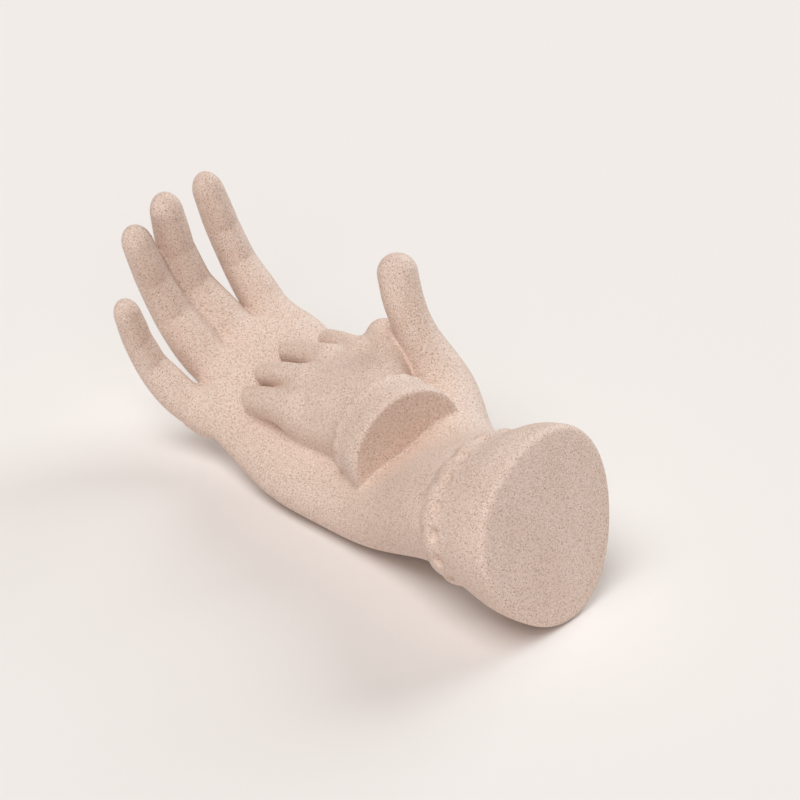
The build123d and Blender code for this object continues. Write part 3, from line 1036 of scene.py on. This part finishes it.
@dataclass
class Skin:
    """The sculpture's one skin, and its parting into pieces.

    Low and high are the corners of the space that the grid fills, the block is its cells to a
    side, and its reach is half its diagonal as a share of its side. The batch is the number of
    points that are measured at a time, the probes are the short steps of the differences, and the
    least paces keep Newton steps short where a gradient fades.
    """

    adult: AdultHand
    cuff: Cuff
    child: ChildHand
    spacing: float = FINE_SPACING
    block: int = 8
    block_reach: float = 0.87
    block_margin: float = 3.0
    batch: int = 200000
    low: Triple = (-44.0, -13.0, -3.0)
    high: Triple = (70.0, 254.0, 118.0)
    floor: float = 0.0
    wall: float = 1.5
    rounds: int = 3
    probe: float = 0.06
    least_pace: float = 0.2
    longest_step: float = 0.5
    seam_probe: float = 0.05
    seam_least_pace: float = 0.05
    seam_step_share: float = 0.16

    def shares(self, points: Array) -> dict[str, Array]:
        """Distances to every form by name."""
        return {
            **self.adult.distances(points), **self.cuff.distances(points), **self.child.distances(points),
        }

    def blend(self, points: Array) -> Array:
        """Distances to the whole skin, ground flat where it rests.

        Args:
            points: any points.

        Returns:
            Distances, negative inside.
        """
        shares = self.shares(points)
        adult = join(self.adult.blend(shares), self.cuff.blend(shares), Fillet.WRIST)
        whole = join(adult, self.child.blend(shares), Fillet.CHILD_ON_PALM)
        return trim(whole, self.floor - points[:, 2], Fillet.FOOT)

    def parts(self, points: Array) -> tuple[list[str], Array]:
        """The distance to each node's own form.

        Args:
            points: points of the skin.

        Returns:
            Names of the nodes, and one row of distances for each.
        """
        shares = self.shares(points)
        parts = {**self.adult.part(points, shares), **self.cuff.part(shares), **self.child.part(shares)}
        return list(parts), np.stack(list(parts.values()))

    def in_batches(self, measure: Callable[[Array], Array], points: Array) -> Array:
        """A measure of many points, worked out some at a time."""
        starts = range(0, len(points), self.batch)
        return np.concatenate([measure(points[start:start + self.batch]) for start in starts])

    def grid(self) -> tuple[Array, Array]:
        """Distances on a grid of points, exact near the skin.

        Blocks of the grid whose middle is far from the skin keep the distance of that middle.

        Returns:
            The grid's lowest corner and its distances.
        """
        low, high = np.array(self.low), np.array(self.high)
        size = self.spacing * self.block
        blocks = np.ceil((high - low) / size).astype(int)
        index = lattice(blocks)
        middles = low + (index + 0.5) * size - self.spacing / 2
        rough = self.in_batches(self.blend, middles)
        near = np.abs(rough) < size * self.block_reach + self.block_margin
        inner = lattice((self.block,) * 3)
        fine = (index[near][:, None, :] * self.block + inner[None, :, :]).reshape(-1, 3)
        values = np.repeat(rough, self.block ** 3).reshape(*blocks, *(self.block,) * 3)
        values = values.transpose(0, 3, 1, 4, 2, 5).reshape(blocks * self.block)
        values[tuple(fine.T)] = self.in_batches(self.blend, low + fine * self.spacing)
        return low, values

    def slope(self, points: Array) -> Array:
        """Gradient of the skin's distance, from differences over a short step each way.

        Args:
            points: points near the skin.

        Returns:
            One gradient for each point.
        """
        gradient = np.empty_like(points)
        for axis, offset in enumerate(np.eye(3) * self.probe):
            gradient[:, axis] = self.blend(points + offset) - self.blend(points - offset)
        return gradient / (2.0 * self.probe)

    def settle(self, points: Array, rounds: int) -> Array:
        """Moves points onto the skin by Newton steps, distance over gradient, along the gradient.

        Args:
            points: points near the skin.
            rounds: number of steps.

        Returns:
            The moved points.
        """
        for _ in range(rounds):
            gradient = self.in_batches(self.slope, points)
            level = self.in_batches(self.blend, points)
            pace = np.maximum(dot(gradient, gradient), self.least_pace)
            step = np.clip(level / pace, -self.longest_step, self.longest_step)
            points = points - step[:, None] * gradient
        return points

    def net(self) -> tuple[Array, Array]:
        """Quads of the skin.

        Each cell that the skin passes through gets a point, at the mean of the places where the
        skin crosses its edges, and each crossed edge gets a quad through the four cells round it.

        Returns:
            Points and quads, with the quads facing outwards.
        """
        low, values = self.grid()
        inside = values < 0
        shape = values.shape
        strides = np.array([shape[1] * shape[2], shape[2], 1])
        counts = np.zeros(values.size)
        sums = np.zeros((3, values.size))
        crossings = []
        for axis in range(3):
            first = [slice(None)] * 3
            last = [slice(None)] * 3
            first[axis], last[axis] = slice(None, -1), slice(1, None)
            crossed = np.nonzero(inside[tuple(first)] != inside[tuple(last)])
            start = np.stack(crossed, axis=1)
            ahead = start.copy()
            ahead[:, axis] += 1
            a, b = values[tuple(start.T)], values[tuple(ahead.T)]
            place = start.astype(float)
            place[:, axis] += a / (a - b)
            flat = start @ strides
            other, third = [k for k in range(3) if k != axis]
            steps = (0, strides[other], strides[other] + strides[third], strides[third])
            cells = [flat - step for step in steps]
            for cell in cells:
                counts += np.bincount(cell, minlength=values.size)
                for k in range(3):
                    sums[k] += np.bincount(cell, weights=place[:, k], minlength=values.size)
            turned = (a < 0) ^ (axis == 1)
            crossings.append((np.stack(cells, axis=1), turned))
        used = np.flatnonzero(counts)
        numbers = np.full(values.size, -1)
        numbers[used] = np.arange(len(used))
        points = low + (sums[:, used] / counts[used]).T * self.spacing
        quads = [np.where(turned[:, None], cells, cells[:, ::-1]) for cells, turned in crossings]
        return points, numbers[np.concatenate(quads)]

    def parted(self) -> dict[str, tuple[Array, Array, Array]]:
        """The skin's pieces by node.

        A quad belongs to the node whose own form is nearest. Points on a seam then slide along the
        skin onto the line of equal distance, so that the seam is smooth.

        Returns:
            Points, quads and point normals of each closed piece.
        """
        points, quads = self.net()
        points = self.settle(points, self.rounds)
        names, rows = self.parts(points[quads].mean(axis=1))
        owner = rows.argmin(axis=0)
        lowest = np.full(len(points), len(names))
        highest = np.full(len(points), -1)
        np.minimum.at(lowest, quads.ravel(), np.repeat(owner, 4))
        np.maximum.at(highest, quads.ravel(), np.repeat(owner, 4))
        seam = np.flatnonzero(lowest != highest)
        for _ in range(self.rounds):
            points[seam] = self.slide(points[seam], lowest[seam], highest[seam])
        points[seam] = self.settle(points[seam], self.rounds - 1)
        normals = unit(self.in_batches(self.slope, points))
        return {name: cast_piece(points, quads[owner == number], normals, self.wall)
                for number, name in enumerate(names) if (owner == number).any()}

    def slide(self, points: Array, first: Array, last: Array) -> Array:
        """Moves seam points towards the line of equal distance to the two nodes that meet there.

        It is a Newton step on the difference of the two distances, along the skin, no longer than
        a share of the grid's spacing.

        Args:
            points: points of the seam.
            first: row number of one node at each point.
            last: row number of the other node.

        Returns:
            The moved points.
        """
        column = np.arange(len(points))

        def difference(places: Array) -> Array:
            """Distance to the first node less that to the last."""
            rows = self.parts(places)[1]
            return rows[first, column] - rows[last, column]

        level = difference(points)
        offsets = np.eye(3) * self.seam_probe
        gradient = np.stack([difference(points + offset) - difference(points - offset)
                             for offset in offsets], axis=1) / (2 * self.seam_probe)
        normal = unit(self.slope(points))
        gradient = gradient - dot(gradient, normal)[:, None] * normal
        pace = np.maximum(dot(gradient, gradient), self.seam_least_pace)
        move = -(level / pace)[:, None] * gradient
        size = np.linalg.norm(move, axis=1, keepdims=True)
        limit = self.seam_step_share * self.spacing
        return points + move * np.minimum(1.0, limit / np.maximum(size, TINY))


def cast_piece(points: Array, faces: Array, normals: Array, wall: float) -> tuple[Array, Array, Array]:
    """One piece of the skin as a closed casting with a thin wall.

    The inner skin is the outer one moved inwards along its normals by the wall's thickness and
    turned over, and each open edge gets a quad between the two.

    Args:
        points: points of the whole skin.
        faces: the piece's quads.
        normals: normals of the whole skin's points.
        wall: thickness of the wall.

    Returns:
        The casting's points, quads and normals.
    """
    used, faces = np.unique(faces, return_inverse=True)
    faces = faces.reshape(-1, 4)
    points, normals = points[used], normals[used]
    count = len(points)
    edges = np.stack([faces, np.roll(faces, -1, axis=1)], axis=-1).reshape(-1, 2)
    rims = edges[~np.isin(edges[:, 0] * count + edges[:, 1], edges[:, 1] * count + edges[:, 0])]
    walls = np.column_stack([rims[:, 1], rims[:, 0], rims[:, 0] + count, rims[:, 1] + count])
    inner = faces[:, ::-1] + count
    return (np.vstack([points, points - wall * normals]), np.vstack([faces, inner, walls]),
            np.vstack([normals, -normals]))


def piece_object(name: str, points: Array, quads: Array, normals: Array) -> Object:
    """A mesh object from numpy arrays, with its place in its mesh.

    Args:
        name: the piece's name.
        points: the mesh's points, in metres in the model's frame.
        quads: its faces, four corners a row.
        normals: the skin's normals at the points.

    Returns:
        The linked object.
    """
    mesh = bpy.data.meshes.new(name)
    mesh.vertices.add(len(points))
    mesh.vertices.foreach_set("co", points.astype(np.float32).ravel())
    mesh.loops.add(quads.size)
    mesh.loops.foreach_set("vertex_index", quads.ravel().astype(np.int32))
    mesh.polygons.add(len(quads))
    mesh.polygons.foreach_set("loop_start", np.arange(0, quads.size, 4, dtype=np.int32))
    mesh.update(calc_edges=True)
    mesh.validate()
    mesh.polygons.foreach_set("use_smooth", np.ones(len(mesh.polygons), dtype=bool))
    mesh.normals_split_custom_set_from_vertices(normals.tolist())
    piece = bpy.data.objects.new(name, mesh)
    bpy.context.scene.collection.objects.link(piece)
    return piece


class Shade:
    """One output socket of a material, with arithmetic that adds its Math nodes."""

    def __init__(self, graph: "Graph", socket: bpy.types.NodeSocket) -> None:
        """Keeps the socket and the graph that it belongs to."""
        self.graph = graph
        self.socket = socket

    def __mul__(self, other: "Shade | float") -> "Shade":
        """Product."""
        return self.graph.node("ShaderNodeMath", {"operation": "MULTIPLY"}, [self, other])

    __rmul__ = __mul__

    def __sub__(self, other: "Shade | float") -> "Shade":
        """Difference."""
        return self.graph.node("ShaderNodeMath", {"operation": "SUBTRACT"}, [self, other])

    def __rsub__(self, other: float) -> "Shade":
        """Difference from a number."""
        return self.graph.node("ShaderNodeMath", {"operation": "SUBTRACT"}, [other, self])

    def between(self, low: float, high: float) -> "Shade":
        """Zero below low, one above high, and a smooth step between them."""
        return self.graph.node("ShaderNodeMapRange", {"interpolation_type": "SMOOTHSTEP"},
                               {"Value": self, "From Min": low, "From Max": high})


class Graph:
    """Node tree of one material."""

    # Places of the Mix node's factor and of its two colours, and of the colour that it gives
    FACTOR, FIRST_COLOUR, SECOND_COLOUR, MIXED_COLOUR = 0, 6, 7, 2

    def __init__(self, material: Material) -> None:
        """Takes the material's node tree and empties it.

        Args:
            material: the material that the nodes are for.
        """
        material.use_nodes = True
        self.tree = material.node_tree
        self.tree.nodes.clear()

    def node(self, kind: str, settings: dict[str, object],
             inputs: list | dict, output: str | int = 0) -> Shade:
        """Adds a node.

        Args:
            kind: the node's type.
            settings: its settings, which are set first.
            inputs: values or links of its sockets, by order or by name.
            output: which output to return.

        Returns:
            The chosen output.
        """
        made = self.tree.nodes.new(kind)
        for name, value in settings.items():
            setattr(made, name, value)
        pairs = inputs.items() if isinstance(inputs, dict) else enumerate(inputs)
        for name, value in pairs:
            socket = made.inputs[name]
            if isinstance(value, Shade):
                self.tree.links.new(value.socket, socket)
            else:
                socket.default_value = value
        return Shade(self, made.outputs[output])

    def finish(self, surface: Shade) -> None:
        """Links a surface to the material's output."""
        output = self.tree.nodes.new("ShaderNodeOutputMaterial")
        self.tree.links.new(surface.socket, output.inputs["Surface"])

    def mix(self, share: Shade | float, first: object, second: object) -> Shade:
        """Mixes two colours by a share."""
        inputs = {self.FACTOR: share, self.FIRST_COLOUR: first, self.SECOND_COLOUR: second}
        return self.node("ShaderNodeMix", {"data_type": "RGBA"}, inputs, self.MIXED_COLOUR)

    def noise(self, place: Shade, scale: float, detail: float) -> Shade:
        """Soft random value, with a scale in waves to the metre."""
        return self.node("ShaderNodeTexNoise", {}, {"Vector": place, "Scale": scale, "Detail": detail})


@dataclass(frozen=True)
class Speck:
    """One kind of speck, with lengths in metres.

    The cell is that of the random pattern, the seed moves it, and the strength is the share of
    the speck's colour over the clay's own.
    """

    colour: Triple
    cell: float
    radius: float
    seed: float
    strength: float


@dataclass(frozen=True)
class SpeckledClay:
    """Matte unglazed clay, beige pink with slight clouds and with brown, tan and white specks."""

    body: Triple = (0.818, 0.654, 0.568)
    cloud: Triple = (0.765, 0.597, 0.508)
    cloud_scale: float = 34.0
    cloud_detail: float = 3.0
    cloud_range: tuple[float, float] = (0.35, 0.70)
    tan: Speck = Speck((0.560, 0.400, 0.300), 0.00060, 0.00022, 0.31, 0.85)
    white: Speck = Speck((0.930, 0.840, 0.790), 0.00070, 0.00021, 0.57, 1.00)
    brown: Speck = Speck((0.290, 0.175, 0.115), 0.00112, 0.00023, 0.83, 1.00)
    speck_softness: float = 0.25
    seed_turn: Triple = (1.0, 0.7, 0.3)
    roughness: float = 0.62
    specular: float = 0.30
    grain_scale: float = 1400.0
    grain_detail: float = 2.0
    grain_strength: float = 0.35
    grain_height: float = 0.00012

    def mask(self, graph: Graph, place: Shade, speck: Speck) -> Shade:
        """Mask of round specks: near the point of each cell it is one, and it fades at the radius.

        Args:
            graph: the material's graph.
            place: Object coordinates.
            speck: the kind of speck.

        Returns:
            The mask.
        """
        moved = graph.node("ShaderNodeVectorMath", {"operation": "ADD"},
                           [place, tuple(speck.seed * share for share in self.seed_turn)])
        pattern = {"Vector": moved, "Scale": 1.0 / speck.cell, "Randomness": 1.0}
        distance = graph.node("ShaderNodeTexVoronoi", {"feature": "F1"}, pattern, "Distance")
        radius = speck.radius / speck.cell
        fade = radius * self.speck_softness
        return 1.0 - distance.between(radius - fade, radius + fade)

    def material(self, name: str) -> Material:
        """The clay as a material on Object coordinates.

        Args:
            name: the material's name.

        Returns:
            The material.
        """
        material = bpy.data.materials.new(name)
        graph = Graph(material)
        place = graph.node("ShaderNodeTexCoord", {}, [], "Object")
        clouds = graph.noise(place, self.cloud_scale, self.cloud_detail).between(*self.cloud_range)
        tint = graph.mix(clouds, (*self.body, 1.0), (*self.cloud, 1.0))
        for speck in (self.tan, self.white, self.brown):
            share = self.mask(graph, place, speck) * speck.strength
            tint = graph.mix(share, tint, (*speck.colour, 1.0))
        grain = graph.noise(place, self.grain_scale, self.grain_detail)
        normal = graph.node("ShaderNodeBump", {}, {
            "Height": grain, "Strength": self.grain_strength, "Distance": self.grain_height,
        }, "Normal")
        surface = graph.node("ShaderNodeBsdfPrincipled", {}, {
            "Base Color": tint, "Roughness": self.roughness, "Specular IOR Level": self.specular,
            "Normal": normal,
        })
        graph.finish(surface)
        return material


@dataclass(frozen=True)
class PaleFloor:
    """Matte pale paper that the sculpture lies on."""

    colour: Triple = (0.888, 0.862, 0.849)
    half_size: float = 6.0

    def build(self) -> Object:
        """The floor, a flat sheet on the plane that the sculpture rests on.

        Returns:
            The linked object.
        """
        half = self.half_size
        mesh = bpy.data.meshes.new("floor")
        mesh.from_pydata([(-half, -half, 0.0), (half, -half, 0.0), (half, half, 0.0), (-half, half, 0.0)],
                         [], [(0, 1, 2, 3)])
        floor = bpy.data.objects.new("floor", mesh)
        bpy.context.scene.collection.objects.link(floor)
        material = bpy.data.materials.new("pale_paper")
        graph = Graph(material)
        surface = graph.node("ShaderNodeBsdfDiffuse", {}, {"Color": (*self.colour, 1.0)})
        graph.finish(surface)
        mesh.materials.append(material)
        return floor


@dataclass(frozen=True)
class Lamp:
    """A large soft lamp far away: its direction and breadth in degrees, its strength and colour."""

    name: str
    azimuth: float
    elevation: float
    breadth: float
    strength: float
    colour: Triple


@dataclass(frozen=True)
class Studio:
    """The camera and the soft light of the photograph."""

    azimuth: float = -49.0
    elevation: float = 29.0
    centre: Triple = (-0.6332, -0.5787, 0.5278)
    lens: float = 102.08
    sensor: float = 36.0
    lamps: tuple[Lamp, ...] = (
        Lamp("key", -90.0, 65.0, 40.0, 1.74, (1.0, 1.0, 0.975)),
        Lamp("front", -45.0, 30.0, 40.0, 0.60, (1.0, 0.97, 0.96)),
        Lamp("right", 90.0, 30.0, 40.0, 1.62, (0.886, 0.985, 1.0)),
    )
    sky_strength: float = 0.170
    sky_colour: Triple = (1.0, 0.74, 0.65)

    def looking(self, azimuth: float, elevation: float) -> Matrix:
        """Turn of something that looks back at the object, whose own z axis points away from it.

        Args:
            azimuth: angle round the object from its front, in degrees.
            elevation: angle above the floor, in degrees.

        Returns:
            The turn.
        """
        turn, rise = np.radians(azimuth), np.radians(elevation)
        back = np.array([np.sin(turn) * np.cos(rise), -np.cos(turn) * np.cos(rise), np.sin(rise)])
        right = np.array([np.cos(turn), np.sin(turn), 0.0])
        return Matrix(np.column_stack([right, np.cross(back, right), back]).tolist())

    def build(self) -> None:
        """Sets the camera, the lamps, the sky and the plain view of colours."""
        scene = bpy.context.scene
        lens = bpy.data.cameras.new("camera")
        lens.lens, lens.sensor_width = self.lens, self.sensor
        camera = bpy.data.objects.new("camera", lens)
        camera.matrix_world = self.looking(self.azimuth, self.elevation).to_4x4()
        camera.location = self.centre
        scene.collection.objects.link(camera)
        scene.camera = camera
        for lamp in self.lamps:
            light = bpy.data.lights.new(lamp.name, "SUN")
            light.energy, light.color, light.angle = lamp.strength, lamp.colour, np.radians(lamp.breadth)
            holder = bpy.data.objects.new(lamp.name, light)
            holder.matrix_world = self.looking(lamp.azimuth, lamp.elevation).to_4x4()
            scene.collection.objects.link(holder)
        world = bpy.data.worlds.new("sky")
        scene.world = world
        world.use_nodes = True
        sky = world.node_tree.nodes["Background"]
        sky.inputs["Color"].default_value = (*self.sky_colour, 1.0)
        sky.inputs["Strength"].default_value = self.sky_strength
        scene.view_settings.view_transform = "Standard"


def build_pieces(skin: Skin) -> None:
    """Makes each piece of the skin, with its clay and its body, and hides the node that it stands for.

    The model's frame is that of the skin, moved so that the middles of the flat face meet.

    Args:
        skin: the sculpture's skin.
    """
    face = next(mount for mount in frame["record"]["mounts"] if mount["name"] == "end_face")
    shift = np.array(face["pos_m"]) - skin.cuff.middle() / METRE
    clay = SpeckledClay().material("speckled_clay_skin")
    skin.floor = -shift[2] * METRE
    for name, (points, quads, normals) in skin.parted().items():
        piece = piece_object(f"{name}_skin", points / METRE + shift, quads, normals)
        piece.data.materials.append(clay)
        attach(piece, "root")
        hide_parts(name)
        LOG.info("%s: %d points, %d faces", name, len(points), len(quads))


def main() -> None:
    """Builds the sculpture, its floor and its light."""
    logging.basicConfig(level=logging.INFO, format="%(name)s: %(message)s")
    spacing = FINE_SPACING
    build_pieces(Skin(AdultHand(), Cuff(), ChildHand(), spacing=spacing))
    PaleFloor().build()
    Studio().build()


if __name__ == "__main__":
    main()
